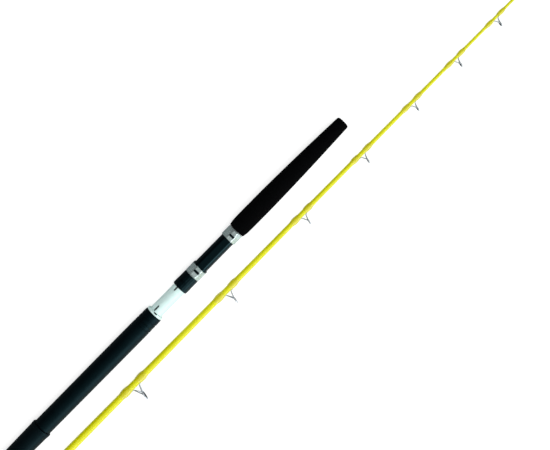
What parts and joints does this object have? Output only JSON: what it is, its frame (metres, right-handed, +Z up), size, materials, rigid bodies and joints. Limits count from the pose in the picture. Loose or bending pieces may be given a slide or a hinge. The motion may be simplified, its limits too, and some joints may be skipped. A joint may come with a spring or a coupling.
{
  "type": "boat fishing rod",
  "caption": "Take-apart boat fishing rod: handle with screw-down reel seat and soft grips, lying beside a tapered tip section with wire-framed ring guides and a tip-top.",
  "frame": {"origin": "bottom centre of the whole rod as it lies, both sections side by side", "axes": "+X along the rod from butt to tip, +Z up through the reel saddle, -Y the side the line guides point to"},
  "size_m": [1.3708, 0.1053, 0.0318],
  "materials": {
    "polished_aluminium": "bright polished",
    "satin_aluminium": "satin",
    "stainless_wire": "polished",
    "black_nylon": "satin moulded",
    "moulded_rubber": "smooth satin",
    "eva_foam": "matte fine foam",
    "black_glass_fibre": "satin",
    "yellow_glass_fibre": "gloss varnish",
    "yellow_thread_in_epoxy": "thread under clear epoxy",
    "grey_ceramic": "polished"
  },
  "bodies": {
    "handle": {"handle_core": "black_glass_fibre", "gimbal": "satin_aluminium", "rear_grip": "moulded_rubber", "grip_collar": "polished_aluminium", "seat_barrel": "polished_aluminium", "saddle_sleeve": "black_nylon", "fixed_hood": "polished_aluminium", "foregrip": "eva_foam", "ferrule_socket": "satin_aluminium"},
    "cap": {"butt_cap": "moulded_rubber"},
    "hood": {"moving_hood": "polished_aluminium", "hood_lip": "black_nylon"},
    "hood_ring": {"hood_nut": "black_nylon"},
    "lock_ring": {"lock_nut": "black_nylon"},
    "tip_section": {"blank": "yellow_glass_fibre", "ferrule_spigot": "satin_aluminium", "ferrule_wrap": "yellow_thread_in_epoxy", "guide_1_frame": "stainless_wire", "guide_1_ring": "grey_ceramic", "guide_1_rear_wrap": "yellow_thread_in_epoxy", "guide_1_front_wrap": "yellow_thread_in_epoxy", "guide_2_frame": "stainless_wire", "guide_2_ring": "grey_ceramic", "guide_2_rear_wrap": "yellow_thread_in_epoxy", "guide_2_front_wrap": "yellow_thread_in_epoxy", "guide_3_frame": "stainless_wire", "guide_3_ring": "grey_ceramic", "guide_3_rear_wrap": "yellow_thread_in_epoxy", "guide_3_front_wrap": "yellow_thread_in_epoxy", "guide_4_frame": "stainless_wire", "guide_4_ring": "grey_ceramic", "guide_4_rear_wrap": "yellow_thread_in_epoxy", "guide_4_front_wrap": "yellow_thread_in_epoxy", "guide_5_frame": "stainless_wire", "guide_5_ring": "grey_ceramic", "guide_5_rear_wrap": "yellow_thread_in_epoxy", "guide_5_front_wrap": "yellow_thread_in_epoxy", "guide_6_frame": "stainless_wire", "guide_6_ring": "grey_ceramic", "guide_6_rear_wrap": "yellow_thread_in_epoxy", "guide_6_front_wrap": "yellow_thread_in_epoxy", "guide_7_frame": "stainless_wire", "guide_7_ring": "grey_ceramic", "guide_7_rear_wrap": "yellow_thread_in_epoxy", "guide_7_front_wrap": "yellow_thread_in_epoxy", "guide_8_frame": "stainless_wire", "guide_8_ring": "grey_ceramic", "guide_8_rear_wrap": "yellow_thread_in_epoxy", "guide_8_front_wrap": "yellow_thread_in_epoxy", "tip_top_frame": "stainless_wire", "tip_top_ring": "grey_ceramic", "tip_top_wrap": "yellow_thread_in_epoxy"}
  },
  "joints": [
    {"name": "cap_pull", "type": "slide", "parent": "handle", "child": "cap", "axis": [-1, 0, 0], "range_m": [0, 0.08]},
    {"name": "hood_slide", "type": "slide", "parent": "handle", "child": "hood", "axis": [-1, 0, 0], "range_m": [0, 0.042]},
    {"name": "hood_nut_turn", "type": "hinge", "parent": "hood", "child": "hood_ring", "pos_m": [0.02225, 0.03679, 0.0159], "axis": [-1, 0, 0], "continuous": true},
    {"name": "lock_nut_turn", "type": "hinge", "parent": "hood", "child": "lock_ring", "pos_m": [0.0094, 0.03679, 0.0159], "axis": [-1, 0, 0], "continuous": true},
    {"name": "tip_lift", "type": "slide", "parent": "handle", "child": "tip_section", "axis": [0, 0, 1], "range_m": [0, 0.15]}
  ],
  "couplings": [
    {"joint": "hood_nut_turn", "follows": "hood_slide", "rad_per_m": 4188.8},
    {"joint": "lock_nut_turn", "follows": "hood_slide", "rad_per_m": 4188.8}
  ]
}
